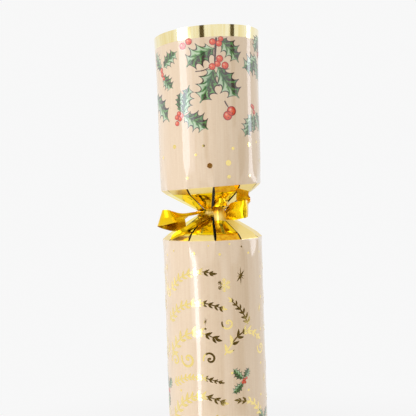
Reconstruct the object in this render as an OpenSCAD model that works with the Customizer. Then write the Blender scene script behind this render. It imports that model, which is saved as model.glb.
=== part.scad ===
// A pull-apart table cracker: one sheet of printed card rolled into a tube and die-cut into
// narrow tabs at two necks, a tied foil ribbon in each neck, and a snap, a paper crown,
// a slip and a small gift inside. It stands on its lower handle, with the waist openings on +Z.

/* [Tube] */
// Outer diameter of the rolled card tube
tube_d = 45; // [40:1:56]
// Thickness of the card
card_t = 0.4; // [0.3:0.05:0.6]
// Length of each pull handle, from its mouth to its crease
handle_len = 68; // [56:1:84]
// Length of the barrel between its two creases
barrel_len = 118; // [108:1:150]

/* [Neck] */
// Length of each neck, from crease to crease
neck_len = 23; // [20:0.5:27]
// Width of the waist across the corners of the folded tabs
waist_d = 10; // [9:0.5:12]
// Number of die-cut tabs round the neck
tab_count = 12; // [8:4:12]
// Width of the slit between two tabs
slit_w = 0.5; // [0.3:0.05:0.7]
// Length over which the round tube turns into the creased polygon
fold_len = 14; // [8:1:18]
// Gap between the two halves of each tab, where the card is perforated
tear_gap = 0.3; // [0.2:0.05:0.5]

/* [Ribbon] */
// Width of the foil ribbon
ribbon_w = 7.5; // [6:0.5:8.5]
// Thickness of the foil ribbon
ribbon_t = 0.25; // [0.2:0.05:0.35]
// Height of the gathered ribbon round the waist
band_h = 2; // [1.6:0.2:3]
// Thickness of the gathered ribbon outside the groove
band_t = 0.5; // [0.4:0.1:0.8]
// Clearance between the ribbon and the folded tabs
band_clear = 0.3; // [0.25:0.05:0.5]

/* [Snap] */
// Thickness of each snap strip
snap_t = 0.35; // [0.25:0.05:0.5]
// Length over which the two snap strips lie on each other
snap_overlap = 34; // [24:1:50]
// Space between the two snap strips
snap_gap = 0.3; // [0.26:0.02:0.5]
// How far the snap lies behind the middle of the barrel, to leave room for the gift
snap_offset = 1.2; // [0.8:0.1:1.6]
// Clearance from the edges of the paper sleeve to the tabs at the waist
snap_side_clear = 0.4; // [0.3:0.05:0.6]
// Thickness of the friction coats on the strips
coat_t = 0.1; // [0.06:0.02:0.12]
// Length of the friction coats
coat_len = 12; // [8:1:16]
// Length of the paper sleeve round the overlap
sleeve_len = 22; // [16:1:24]
// Thickness of the paper sleeve
sleeve_t = 0.2; // [0.15:0.05:0.3]
// Clearance inside the paper sleeve
sleeve_clear = 0.12; // [0.1:0.02:0.2]
// Room left between the end of a strip and the round part of its handle
strip_end_clear = 1.5; // [1:0.5:3]
// Space left between a strip and the wall it is glued to
glue_gap = 0.3; // [0.2:0.05:0.4]

/* [Contents] */
// Height of the rolled paper crown
crown_h = 72; // [56:1:84]
// Depth of the points along the top edge of the crown
crown_point_h = 16; // [10:1:22]
// Thickness of one layer of the rolled crown
crown_t = 0.7; // [0.5:0.05:0.9]
// Space between two layers of the rolled crown
crown_layer_gap = 0.55; // [0.4:0.05:0.8]
// Thickness of the rubber band round the crown
crown_band_t = 1.2; // [0.8:0.1:1.6]
// Height of the rolled slip
slip_h = 58; // [40:1:70]
// Outer diameter of the rolled slip
slip_d = 6.4; // [5:0.2:7]
// Thickness of the paper of the slip
slip_t = 0.3; // [0.2:0.05:0.4]
// Space between two layers of the rolled slip
slip_layer_gap = 0.5; // [0.4:0.05:0.7]
// Height of the turned body of the spinning top
top_body_h = 24; // [18:1:30]
// Diameter of the spindle of the spinning top
spindle_d = 3.2; // [2.6:0.1:4]
// Length of spindle above the body of the spinning top
spindle_up = 14; // [10:1:18]
// Length of spindle below the body of the spinning top
spindle_down = 2.5; // [2:0.25:4]
// Running clearance of the spindle in its bore
spindle_clear = 0.03; // [0.02:0.01:0.06]
// Clearance round everything that lies in the barrel
content_clear = 0.8; // [0.6:0.1:1.2]
// Clearance under everything that stands on the folded tabs
seat_clear = 0.3; // [0.25:0.05:0.5]

/* [Hidden] */

round_fn = 96;
hull_fn = 32;
overrun = 1;
// The folded end is kept this much inside the round wall, and this much of it laps into the wall
blend_step = 0.03;
blend_lap = 0.2;
slab = 0.05;
// Two pieces that touch are kept this far apart
touch_gap = 0.03;

tube_r = tube_d / 2;
bore_r = tube_r - card_t;
neck_half = neck_len / 2;
half_tab = 180 / tab_count;
// The creased polygon has the same girth as the round tube
corner_r = PI * tube_r / (tab_count * sin(half_tab));
crease_flat = corner_r * cos(half_tab);
crease_side = 2 * corner_r * sin(half_tab);
waist_r = waist_d / 2;
waist_flat = waist_r * cos(half_tab);
waist_side = 2 * waist_r * sin(half_tab);
tab_rise = neck_half - tear_gap / 2;
tab_run = crease_flat - waist_flat;
tab_len = norm([tab_rise, tab_run]);
tab_tilt = atan2(tab_rise, tab_run);

overall_len = 2 * handle_len + 2 * neck_len + barrel_len;
middle_z = overall_len / 2;
lower_waist_z = handle_len + neck_half;
upper_waist_z = overall_len - lower_waist_z;
round_from = neck_half + fold_len;

// The sheet laps over its own edge along one facet of the polygon, left of the back
lap_turn = 90 + 3 * half_tab;
lap_share = 0.88;

// The snap in its sleeve has to pass between the inner edges of the tabs
waist_bore_r = waist_flat - card_t * sin(tab_tilt);
strip_y = (snap_gap + snap_t) / 2;
sleeve_half = snap_gap / 2 + snap_t + sleeve_clear + sleeve_t;
sleeve_reach = snap_offset + sleeve_half;
sleeve_half_w = sqrt(waist_bore_r * waist_bore_r - sleeve_reach * sleeve_reach) - snap_side_clear;
snap_w = 2 * (sleeve_half_w - sleeve_clear - sleeve_t);

// A strip leaves the waist straight, bends out over the tabs and ends on the handle's wall,
// just past the crease and short of the round bore
bend_from_share = 0.1;
bend_h_share = 1.1;
bend_from = neck_half * bend_from_share;
bend_to = bend_from + neck_half * bend_h_share;
strip_to = round_from - strip_end_clear;
fold_flat = crease_flat - card_t;
wall_y = (fold_flat - snap_w / 2 * sin(half_tab)) / cos(half_tab) - glue_gap - snap_t / 2;

// Radius of the rolled pieces and the gift, and where they stand in the barrel
front_room = bore_r + snap_offset - sleeve_half - 2 * content_clear;
back_room = bore_r - sleeve_reach - 2 * content_clear;
crown_r_share = 0.37;
crown_r = back_room * crown_r_share;
crown_turn = 115;
crown_band_r = crown_r + touch_gap + crown_band_t / 2;
crown_out = bore_r - crown_band_r - crown_band_t / 2 - content_clear;
slip_r = slip_d / 2;
slip_turn = 38;
slip_out = bore_r - slip_r - content_clear;
top_r = front_room / 2;
top_y = top_r + content_clear - bore_r;

foil_gold = [0.93, 0.72, 0.16];
printed_card = [0.87, 0.77, 0.65];
raw_card = [0.80, 0.78, 0.74];

// Height above the lower waist at which something that reaches out to radius r clears the tabs
function seat_h(r) =
    (r / cos(half_tab) - waist_r) * neck_half / (corner_r - waist_r)
    + card_t / cos(tab_tilt) + seat_clear;

// Point t of the smooth curve through four points, and a whole route made of such curves
function curve_point(a, b, c, d, t) =
    0.5 * (2 * b + (c - a) * t + (2 * a - 5 * b + 4 * c - d) * t * t
    + (3 * b - a - 3 * c + d) * t * t * t);
function route_curve(p, steps) = let (last = len(p) - 1) [
    for (i = [0 : last - 1], k = [0 : steps - 1])
        curve_point(p[max(i - 1, 0)], p[i], p[i + 1], p[min(i + 2, last)], k / steps),
    p[last]
];
function unit(v) = v / norm(v);

// Outline of a strip rolled up as a spiral, from its outer radius inwards
function spiral_outline(outer, pitch, thick, turns, steps) = let (
    count = turns * steps,
    ray = function (i, inset) (outer - inset - pitch * i / steps)
        * [cos(360 * i / steps), sin(360 * i / steps)]
) concat(
    [for (i = [0 : count]) ray(i, 0)],
    [for (i = [count : -1 : 0]) ray(i, thick)]
);

module ring(outer, inner, h) {
    difference() {
        cylinder(r = outer, h = h, $fn = round_fn);
        translate([0, 0, -overrun])
            cylinder(r = inner, h = h + 2 * overrun, $fn = round_fn);
    }
}

// One flat tab, from the crease down and in to the waist
module neck_tab() {
    translate([crease_flat, 0, neck_half])
        rotate([0, -tab_tilt, 0])
            rotate([0, 0, 90])
                linear_extrude(card_t)
                    polygon([
                        [-(crease_side - slit_w) / 2, 0],
                        [(crease_side - slit_w) / 2, 0],
                        [(waist_side - slit_w) / 2, tab_len],
                        [-(waist_side - slit_w) / 2, tab_len]
                    ]);
}

module neck_tabs() {
    for (i = [0 : tab_count - 1])
        rotate([0, 0, (2 * i + 1) * half_tab])
            neck_tab();
}

// Skin of the folded end: a creased polygon below, a circle above
module fold_form(round_r, flat_r, below, above) {
    hull() {
        translate([0, 0, neck_half - below])
            cylinder(r = flat_r / cos(half_tab), h = below + slab, $fn = tab_count);
        translate([0, 0, round_from + blend_lap - slab])
            cylinder(r = round_r - blend_step, h = slab + above, $fn = round_fn);
    }
}

// The sector of the tube that the lapped edge of the sheet covers
module lap_sector(h) {
    reach = 2 * corner_r;
    half = half_tab * lap_share;
    linear_extrude(h)
        polygon([
            [0, 0],
            reach * [cos(lap_turn - half), sin(lap_turn - half)],
            reach * [cos(lap_turn + half), sin(lap_turn + half)]
        ]);
}

// One end of a card tube, with its waist plane at height 0
module folded_end() {
    color(printed_card)
        difference() {
            union() {
                fold_form(tube_r, crease_flat, 0, 0);
                intersection() {
                    fold_form(tube_r + card_t, crease_flat + card_t, 0, 0);
                    lap_sector(round_from + fold_len);
                }
            }
            fold_form(bore_r, fold_flat, slab, slab);
        }
    color(foil_gold)
        neck_tabs();
}

// Round stretch of a card tube, standing on height 0, with the lapped edge of the sheet
module round_tube(h) {
    ring(tube_r, bore_r, h);
    intersection() {
        ring(tube_r + card_t, tube_r - card_t / 2, h);
        lap_sector(h);
    }
}

module handle_wrap() {
    folded_end();
    translate([0, 0, round_from])
        color(printed_card)
            round_tube(handle_len - fold_len);
}

module upper_handle_wrap() {
    translate([0, 0, upper_waist_z])
        handle_wrap();
}

module lower_handle_wrap() {
    translate([0, 0, lower_waist_z])
        mirror([0, 0, 1])
            handle_wrap();
}

module barrel_wrap() {
    translate([0, 0, upper_waist_z])
        mirror([0, 0, 1])
            folded_end();
    translate([0, 0, lower_waist_z])
        folded_end();
    translate([0, 0, lower_waist_z + round_from])
        color(printed_card)
            round_tube(barrel_len - 2 * fold_len);
}

// Radius of the folded tabs at a height from the waist plane, over their corners
function cone_r(h) = min(waist_r + abs(h) * (corner_r - waist_r) / neck_half, corner_r);

// The gathered ribbon sits in the groove between the two rows of tabs
band_seat_r = waist_r + band_clear / sin(tab_tilt);
band_lip_r = band_seat_r + band_h / 2 * (corner_r - waist_r) / neck_half;
band_out_r = band_lip_r + band_t;

// Lobes of the knot, one for the root of each run: how far each lies to the right and above the
// waist, as shares of the ribbon's width. Each stands just clear of the tabs.
right_lobe = [0.22, -0.06];
left_lobe = [-0.24, 0.05];
low_lobe = [-0.20, -0.16];
upper_lobe = [0.02, 0.15];
front_lobe = [0.24, 0.07];
knot_lobe_shares = [right_lobe, left_lobe, low_lobe, upper_lobe, front_lobe];
lobe_r_share = 0.16;
lobe_r = ribbon_w * lobe_r_share;
function knot_lobe(s) = let (
    x = s[0] * ribbon_w,
    z = s[1] * ribbon_w,
    out = cone_r(z) + (lobe_r + band_clear) / sin(tab_tilt)
) [x, -sqrt(out * out - x * x), z];

// Runs of the bow, in front of the waist, each from its lobe of the knot. Each row holds how far
// the middle of the ribbon lies to the right and above the waist and how much further forward
// than it has to, as shares of the tube radius, half the neck and the tube radius; which way the
// ribbon's width points; its width as a share of the full ribbon; and how far its lengthwise
// crease stands out, as a share of it.
right_tail_shares = [
    [0.23, -0.11, 0.04, [0.1, -0.1, 1.0], 0.47, 0.08],
    [0.36, 0.04, 0.30, [0.1, -0.1, 1.0], 1.00, 0.11],
    [0.55, 0.12, 0.66, [0.1, 0.0, 1.0], 1.00, 0.08],
    [0.63, 0.16, 0.80, [0.0, -0.1, 1.0], 1.00, 0.03],
    [0.67, 0.26, 0.64, [0.0, -0.5, 0.9], 1.00, 0.00],
    [0.59, 0.48, 0.42, [0.5, -0.6, 0.6], 0.84, 0.00],
    [0.56, 0.72, 0.14, [0.6, -0.8, 0.2], 0.72, 0.00],
    [0.55, 0.87, 0.12, [0.6, -0.8, 0.1], 0.72, 0.00]
];
left_tail_shares = [
    [-0.33, 0.03, 0.14, [0.0, 1.0, 0.1], 0.55, 0.10],
    [-0.56, -0.03, 0.36, [0.0, 0.9, 0.2], 0.85, 0.12],
    [-0.80, -0.08, 0.54, [0.1, 0.7, 0.7], 0.95, 0.08],
    [-0.99, -0.11, 0.54, [0.3, 0.1, 0.9], 0.95, 0.02],
    [-1.04, -0.16, 0.42, [0.3, 0.0, 0.9], 0.95, 0.00],
    [-0.90, -0.28, 0.28, [0.2, 0.2, 0.9], 1.00, 0.00],
    [-0.70, -0.34, 0.12, [0.1, 0.1, 1.0], 1.00, -0.04],
    [-0.55, -0.30, 0.05, [-0.1, 0.1, 1.0], 0.70, -0.05]
];
low_tail_shares = [
    [-0.31, -0.33, 0.08, [-0.4, -0.3, 0.8], 0.34, -0.10],
    [-0.54, -0.58, 0.14, [-0.5, -0.3, 0.8], 0.38, -0.08],
    [-0.74, -0.76, 0.14, [-0.6, -0.2, 0.8], 0.30, -0.04],
    [-0.84, -0.93, 0.10, [-0.6, -0.1, 0.8], 0.10, 0.00]
];
upper_curl_shares = [
    [0.06, 0.34, 0.05, [0.6, -0.3, 0.7], 0.44, 0.08],
    [0.15, 0.42, 0.07, [0.0, -0.3, 0.9], 0.46, 0.10],
    [0.23, 0.40, 0.06, [-0.1, -0.3, 0.9], 0.40, 0.08],
    [0.29, 0.34, 0.05, [-0.1, -0.2, 1.0], 0.30, 0.00]
];
front_curl_shares = [
    [0.12, 0.17, 0.12, [1.0, -0.1, 0.0], 0.44, 0.14],
    [0.12, 0.04, 0.26, [1.0, -0.1, 0.0], 0.66, 0.20],
    [0.12, -0.18, 0.31, [1.0, -0.1, 0.0], 0.68, 0.22],
    [0.11, -0.40, 0.16, [1.0, -0.1, 0.1], 0.50, 0.16]
];
bow_steps = 5;
root_span = 0.3;

// Middle of one row of a run, far enough forward for its edges to clear the tabs and the band
function bow_middle(s) = let (
    x = s[0] * tube_r,
    z = s[1] * neck_half,
    half = unit(s[3]) * s[4] * ribbon_w / 2,
    clear = band_clear + ribbon_t,
    reach = [for (e = [-1, 0, 1]) let (
        r = max(cone_r(z + e * half[2]), band_out_r) + clear,
        across = x + e * half[0]
    ) sqrt(max(r * r - across * across, 0)) + e * half[1]]
) [x, -max(reach) - s[2] * tube_r, z];

// One run of ribbon: a thin sheet swept from its lobe along its row of places, creased down its
// middle and gathered at its root
module ribbon_run(lobe, shares) {
    middles = route_curve([knot_lobe(lobe), for (s = shares) bow_middle(s)], bow_steps);
    widths = route_curve([unit(shares[0][3]), for (s = shares) unit(s[3])], bow_steps);
    spans = route_curve([root_span, for (s = shares) s[4]], bow_steps);
    creases = route_curve([0, for (s = shares) s[5]], bow_steps);
    last = len(middles) - 1;
    points = [for (i = [0 : last]) let (
        along = unit(middles[min(i + 1, last)] - middles[max(i - 1, 0)]),
        wide = unit(widths[i] - (widths[i] * along) * along),
        face = cross(along, wide),
        half = wide * spans[i] * ribbon_w / 2,
        crown = face * creases[i] * ribbon_w,
        skin = face * ribbon_t / 2
    ) each [
        middles[i] - half - skin, middles[i] + crown - skin, middles[i] + half - skin,
        middles[i] + half + skin, middles[i] + crown + skin, middles[i] - half + skin
    ]];
    ring = 6;
    walls = [for (i = [0 : last - 1], k = [0 : ring - 1]) let (
        a = i * ring + k,
        b = i * ring + (k + 1) % ring
    ) each [[a, b + ring, b], [a, a + ring, b + ring]]];
    ends = [for (p = [[0, 1, 4, 5], [1, 2, 3, 4]]) each [
        p,
        [for (k = [3 : -1 : 0]) last * ring + p[k]]
    ]];
    polyhedron(points, concat(walls, ends));
}

// The gathered ribbon that pulls the neck in, shaped to the groove between the two rows of tabs
band_fn = 48;
module ribbon_band() {
    rotate_extrude($fn = band_fn)
        polygon([
            [band_seat_r, 0],
            [band_lip_r, band_h / 2],
            [band_out_r, band_h / 4],
            [band_out_r, -band_h / 4],
            [band_lip_r, -band_h / 2]
        ]);
}

// The knot, one round lobe at the root of each run
knot_fn = 16;
module ribbon_knot() {
    hull()
        for (s = knot_lobe_shares)
            translate(knot_lobe(s))
                sphere(r = lobe_r, $fn = knot_fn);
}

module ribbon() {
    color(foil_gold) {
        ribbon_band();
        ribbon_knot();
        ribbon_run(right_lobe, right_tail_shares);
        ribbon_run(left_lobe, left_tail_shares);
        ribbon_run(low_lobe, low_tail_shares);
        ribbon_run(upper_lobe, upper_curl_shares);
        ribbon_run(front_lobe, front_curl_shares);
    }
}

module upper_ribbon() {
    translate([0, 0, upper_waist_z])
        ribbon();
}

module lower_ribbon() {
    translate([0, 0, lower_waist_z])
        rotate([0, 180, 0])
            ribbon();
}

// One snap strip, with the middle of the cracker at height 0: straight through the barrel and
// the waist, then bent out to the wall of its handle
bend_steps = 16;
function bend_ease(t) = t * t * (3 - 2 * t);
module snap_strip(offset) {
    from_y = strip_y + offset;
    waist = upper_waist_z - middle_z;
    bend = [for (i = [0 : bend_steps]) [
        from_y + (wall_y - from_y) * bend_ease(i / bend_steps),
        waist + bend_from + (bend_to - bend_from) * i / bend_steps
    ]];
    line = concat([[from_y, -snap_overlap / 2]], bend, [[wall_y, waist + strip_to]]);
    last = len(line) - 1;
    side = [for (i = [0 : last]) let (
        run = unit(line[min(i + 1, last)] - line[max(i - 1, 0)])
    ) i == 0 || i == last ? [snap_t / 2, 0] : snap_t / 2 * [run[1], -run[0]]];
    rotate([90, 0, 90])
        linear_extrude(snap_w, center = true)
            polygon(concat(
                [for (i = [0 : last]) line[i] + side[i]],
                [for (i = [last : -1 : 0]) line[i] - side[i]]
            ));
}

// Places a piece of the upper half as it is, or of the lower half turned end for end
module in_upper_half() {
    translate([0, 0, middle_z])
        children();
}

module in_lower_half() {
    translate([0, 0, middle_z])
        rotate([180, 0, 0])
            children();
}

module snap_upper_strip() {
    color(raw_card)
        in_upper_half()
            snap_strip(snap_offset);
}

module snap_lower_strip() {
    color(raw_card)
        in_lower_half()
            snap_strip(-snap_offset);
}

coat_w_share = 0.7;
module friction_coat(offset) {
    translate([0, offset + snap_gap / 2 - coat_t / 2, 0])
        cube([snap_w * coat_w_share, coat_t, coat_len], center = true);
}

module snap_abrasive_coat() {
    color("dimgray")
        in_upper_half()
            friction_coat(snap_offset);
}

module snap_charge_coat() {
    color("silver")
        in_lower_half()
            friction_coat(-snap_offset);
}

module snap_sleeve() {
    inner = [2 * (sleeve_half_w - sleeve_t), 2 * (sleeve_half - sleeve_t)];
    color("tan")
        translate([0, snap_offset, middle_z])
            difference() {
                cube([2 * sleeve_half_w, 2 * sleeve_half, sleeve_len], center = true);
                cube([inner[0], inner[1], sleeve_len + 2 * overrun], center = true);
            }
}

// Dab of hot glue that fills the corner between the end of a strip and its handle's wall
glue_share = 0.8;
module glue_dab() {
    half_w = snap_w * glue_share / 2;
    h = (strip_to - bend_to) * glue_share;
    face = wall_y + snap_t / 2;
    side = (fold_flat - half_w * sin(half_tab)) / cos(half_tab) - touch_gap;
    corner = bore_r - blend_step - touch_gap;
    mid_z = upper_waist_z - middle_z + (bend_to + strip_to) / 2;
    translate([0, 0, mid_z - h / 2])
        linear_extrude(h)
            polygon([[-half_w, face], [half_w, face], [half_w, side], [0, corner], [-half_w, side]]);
}

module upper_glue_dab() {
    color("ivory")
        in_upper_half()
            glue_dab();
}

module lower_glue_dab() {
    color("ivory")
        in_lower_half()
            glue_dab();
}

module in_crown_place() {
    rotate([0, 0, crown_turn])
        translate([crown_out, 0, lower_waist_z + seat_h(crown_out + crown_r)])
            children();
}

// Tissue crown, folded flat and rolled up, with its points at the top
crown_turns = 4;
crown_steps = 24;
crown_notches = 3;
module paper_crown() {
    color("mediumseagreen")
        in_crown_place()
            difference() {
                linear_extrude(crown_h)
                    polygon(spiral_outline(
                        crown_r, crown_t + crown_layer_gap, crown_t, crown_turns, crown_steps
                    ));
                for (i = [0 : crown_notches - 1])
                    rotate([90, 0, 180 * i / crown_notches])
                        linear_extrude(2 * crown_r + overrun, center = true)
                            polygon([
                                [0, crown_h - crown_point_h],
                                [crown_r / 2, crown_h + overrun],
                                [-crown_r / 2, crown_h + overrun]
                            ]);
            }
}

band_height_share = 0.4;
module crown_band() {
    color("firebrick")
        in_crown_place()
            translate([0, 0, crown_h * band_height_share])
                rotate_extrude($fn = round_fn)
                    translate([crown_band_r, 0])
                        circle(d = crown_band_t, $fn = hull_fn);
}

slip_turns = 2;
slip_steps = 24;
module motto_slip() {
    color("white")
        rotate([0, 0, slip_turn])
            translate([slip_out, 0, lower_waist_z + seat_h(slip_out + slip_r)])
                linear_extrude(slip_h)
                    polygon(spiral_outline(
                        slip_r, slip_t + slip_layer_gap, slip_t, slip_turns, slip_steps
                    ));
}

module in_top_place() {
    translate([0, top_y, lower_waist_z + seat_h(-top_y + spindle_d / 2)])
        children();
}

// Turned body of the spinning top: outline as shares of its radius and height
top_outline_shares = [
    [0.30, 0.00], [0.42, 0.04], [0.72, 0.26], [0.93, 0.42], [1.00, 0.52],
    [1.00, 0.60], [0.94, 0.66], [0.96, 0.71], [0.86, 0.80], [0.58, 0.90],
    [0.44, 0.94], [0.40, 1.00]
];
module gift_top_body() {
    color("indianred")
        in_top_place()
            translate([0, 0, spindle_down])
                difference() {
                    rotate_extrude($fn = round_fn)
                        polygon(concat(
                            [[0, 0]],
                            [for (s = top_outline_shares) [s[0] * top_r, s[1] * top_body_h]],
                            [[0, top_body_h]]
                        ));
                    translate([0, 0, -overrun])
                        cylinder(
                            d = spindle_d + 2 * spindle_clear,
                            h = top_body_h + 2 * overrun, $fn = round_fn
                        );
                }
}

module gift_top_spindle() {
    whole = spindle_down + top_body_h + spindle_up;
    color("burlywood")
        in_top_place()
            rotate_extrude($fn = round_fn)
                polygon([
                    [0, 0],
                    [spindle_d / 4, 0],
                    [spindle_d / 2, spindle_down / 2],
                    [spindle_d / 2, whole - spindle_d / 4],
                    [spindle_d / 4, whole],
                    [0, whole]
                ]);
}

upper_handle_wrap();
barrel_wrap();
lower_handle_wrap();
upper_ribbon();
lower_ribbon();
snap_upper_strip();
snap_lower_strip();
snap_abrasive_coat();
snap_charge_coat();
snap_sleeve();
upper_glue_dab();
lower_glue_dab();
paper_crown();
crown_band();
motto_slip();
gift_top_body();
gift_top_spindle();
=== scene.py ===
"""Looks for the pull-apart table cracker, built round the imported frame."""
import math
import random

import bmesh
import bpy
from mathutils import Matrix, Vector, noise


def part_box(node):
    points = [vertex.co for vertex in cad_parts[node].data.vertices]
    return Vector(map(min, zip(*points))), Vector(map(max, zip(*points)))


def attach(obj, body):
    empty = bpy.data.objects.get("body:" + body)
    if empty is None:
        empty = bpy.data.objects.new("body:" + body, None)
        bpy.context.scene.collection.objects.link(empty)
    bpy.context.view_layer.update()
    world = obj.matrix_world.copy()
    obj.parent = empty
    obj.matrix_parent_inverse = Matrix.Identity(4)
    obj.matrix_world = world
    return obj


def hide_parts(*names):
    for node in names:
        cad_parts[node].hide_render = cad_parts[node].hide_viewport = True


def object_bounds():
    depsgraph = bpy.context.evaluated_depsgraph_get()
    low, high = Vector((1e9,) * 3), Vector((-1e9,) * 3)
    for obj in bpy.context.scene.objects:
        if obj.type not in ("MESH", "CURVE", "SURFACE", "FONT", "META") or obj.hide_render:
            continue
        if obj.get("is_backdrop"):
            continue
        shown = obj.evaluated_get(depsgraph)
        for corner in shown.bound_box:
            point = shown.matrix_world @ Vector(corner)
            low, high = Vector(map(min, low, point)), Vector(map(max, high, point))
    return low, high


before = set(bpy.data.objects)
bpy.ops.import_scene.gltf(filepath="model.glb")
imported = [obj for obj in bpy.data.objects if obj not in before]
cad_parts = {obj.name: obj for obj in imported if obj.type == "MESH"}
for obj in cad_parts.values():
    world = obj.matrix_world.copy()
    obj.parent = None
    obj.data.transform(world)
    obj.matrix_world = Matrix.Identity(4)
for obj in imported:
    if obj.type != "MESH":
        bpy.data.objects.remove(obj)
cad_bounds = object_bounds()

# Sizes, in millimetres
MM = 0.001
TUBE_R = 22.5
CARD_T = 0.4
HANDLE_LEN = 68.0
BARREL_LEN = 118.0
NECK_HALF = 11.5
WAIST_R = 5.0
TABS = 12
FACET = 360.0 / TABS
FOLD_LEN = 14.0
FOLD_POWER = 2.4
SLIT_W = 0.75
TEAR_HALF = 0.15
RIM_BAND = 5.0
SPRING_OUT = 0.45
MOUTH_FLARE = 0.9
FLARE_LEN = 30.0
# The sheet of the upper handle was rolled a little askew, so its ends rise to the right
ROLL_SKEW = 0.048
MOUTH_RAISE = 0.1
LOWER_WAIST = HANDLE_LEN + NECK_HALF
UPPER_WAIST = LOWER_WAIST + BARREL_LEN + 2 * NECK_HALF
OVERALL = UPPER_WAIST + NECK_HALF + HANDLE_LEN

HALF_TAB = math.radians(FACET / 2)
CORNER_R = math.pi * TUBE_R / (TABS * math.sin(HALF_TAB))
CREASE_FLAT = CORNER_R * math.cos(HALF_TAB)
CREASE_HALF = CORNER_R * math.sin(HALF_TAB)
WAIST_FLAT = WAIST_R * math.cos(HALF_TAB)
WAIST_HALF = WAIST_R * math.sin(HALF_TAB)

RIBBON_W = 7.5
RIBBON_T = 0.12
BAND_CLEAR = 0.3
BAND_OUT = 7.59


# Shader sums
class Sum:
    """A socket that can be added, subtracted and multiplied in plain Python."""

    def __init__(self, finish, socket):
        self.finish, self.socket = finish, socket

    def maths(self, operation, *others):
        return self.finish.node("ShaderNodeMath", {"operation": operation},
                                dict(enumerate((self, *others))))

    def __add__(self, other):
        return self.maths("ADD", other)

    def __sub__(self, other):
        return self.maths("SUBTRACT", other)

    def __rsub__(self, other):
        return self.finish.node("ShaderNodeMath", {"operation": "SUBTRACT"}, {0: other, 1: self})

    def __mul__(self, other):
        return self.maths("MULTIPLY", other)

    __radd__, __rmul__ = __add__, __mul__

    def power(self, other):
        return self.maths("POWER", other)

    def most(self, other):
        return self.maths("MAXIMUM", other)

    def size(self):
        return self.maths("ABSOLUTE")

    def sine(self):
        return self.maths("SINE")

    def part(self):
        return self.maths("FRACT")

    def between(self, low, high):
        """0 below low, 1 above high, and smooth from one to the other."""
        return self.finish.node(
            "ShaderNodeMapRange", {"interpolation_type": "SMOOTHSTEP"},
            {"Value": self, "From Min": low, "From Max": high})


class Finish:
    """One material and the nodes that work out its colour and surface."""

    def __init__(self, name):
        self.material = bpy.data.materials.new(name)
        self.material.use_nodes = True
        self.tree = self.material.node_tree
        self.tree.nodes.clear()
        self.out = self.tree.nodes.new("ShaderNodeOutputMaterial")
        self.surface = self.tree.nodes.new("ShaderNodeBsdfPrincipled")
        self.tree.links.new(self.surface.outputs[0], self.out.inputs["Surface"])

    def put(self, place, item):
        if isinstance(item, Sum):
            self.tree.links.new(item.socket, place)
        elif isinstance(item, (tuple, list)) and place.type == "RGBA":
            place.default_value = (*item[:3], 1.0)
        else:
            place.default_value = item

    def node(self, kind, settings=None, sockets=None, out=0):
        made = self.tree.nodes.new(kind)
        for key, item in (settings or {}).items():
            if key == "stops":
                ramp = made.color_ramp
                while len(ramp.elements) < len(item):
                    ramp.elements.new(0.5)
                for element, (spot, colour) in zip(ramp.elements, item):
                    element.position, element.color = spot, (*colour, 1.0)
            else:
                setattr(made, key, item)
        for key, item in (sockets or {}).items():
            self.put(made.inputs[key], item)
        return Sum(self, made.outputs[out])

    def mix(self, share, first, second):
        return self.node("ShaderNodeMix", {"data_type": "RGBA"}, {0: share, 6: first, 7: second},
                         out=2)

    def spot(self, skin=False, scale=(1.0, 1.0, 1.0)):
        """Place on the piece, in metres from the frame's origin, or on its own skin map."""
        if skin:
            place = self.node("ShaderNodeUVMap", {"uv_map": "skin"})
        else:
            place = self.node("ShaderNodeTexCoord", out=3)
        return self.node("ShaderNodeMapping", None, {"Vector": place, "Scale": scale})

    def cloud(self, spot, scale, detail, roughness, seed=None):
        sockets = {"Vector": spot, "Scale": scale, "Detail": detail, "Roughness": roughness}
        if seed is None:
            return self.node("ShaderNodeTexNoise", None, sockets)
        return self.node("ShaderNodeTexNoise", {"noise_dimensions": "4D"}, {**sockets, "W": seed})

    def grain(self, scale, detail=2.0, roughness=0.5, up=1.0):
        """Noise all through the piece. Where up is below 1 it is drawn out upwards."""
        return self.cloud(self.spot(scale=(1.0, 1.0, up)), scale, detail, roughness)

    def skin_grain(self, across, along, detail=2.0, roughness=0.5, seed=None):
        """Noise on the skin map, so many times finer than a unit of the map each way."""
        return self.cloud(self.spot(True, (across, along, 1.0)), 1.0, detail, roughness, seed)

    def split(self, spot):
        made = self.tree.nodes.new("ShaderNodeSeparateXYZ")
        self.put(made.inputs[0], spot)
        return [Sum(self, socket) for socket in made.outputs]

    def number(self):
        """The number that each face of the piece carries."""
        return self.node("ShaderNodeAttribute", {"attribute_name": "number"}, out=2)

    def bump(self, height, distance):
        return self.node("ShaderNodeBump", None, {"Height": height, "Distance": distance})

    def set(self, **sockets):
        for key, item in sockets.items():
            self.put(self.surface.inputs[key.replace("_", " ")], item)
        return self.material


def far(x, y):
    """Distance from the spot where both sums are 0."""
    return (x * x + y * y).power(0.5)


def srgb(*screen):
    """Linear colour of a colour written as 0 to 255 on a screen."""
    shares = [c / 255 for c in screen]
    return tuple(s / 12.92 if s <= 0.04045 else ((s + 0.055) / 1.055) ** 2.4 for s in shares)


# Finishes
UV_MM = 0.01  # one unit of the skin map is 100 mm
# IOR of the clear film over bare card and foil, and over printed ink, where it mirrors more
FILM_IOR, INK_FILM_IOR = 1.6, 1.85


def gloss(finish, film=FILM_IOR, **more):
    """The surface of card or print under its clear film."""
    return finish.set(IOR=1.3, Coat_Weight=1.0, Coat_Roughness=0.06, Coat_IOR=film,
                      Roughness=0.5, **more)


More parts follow.
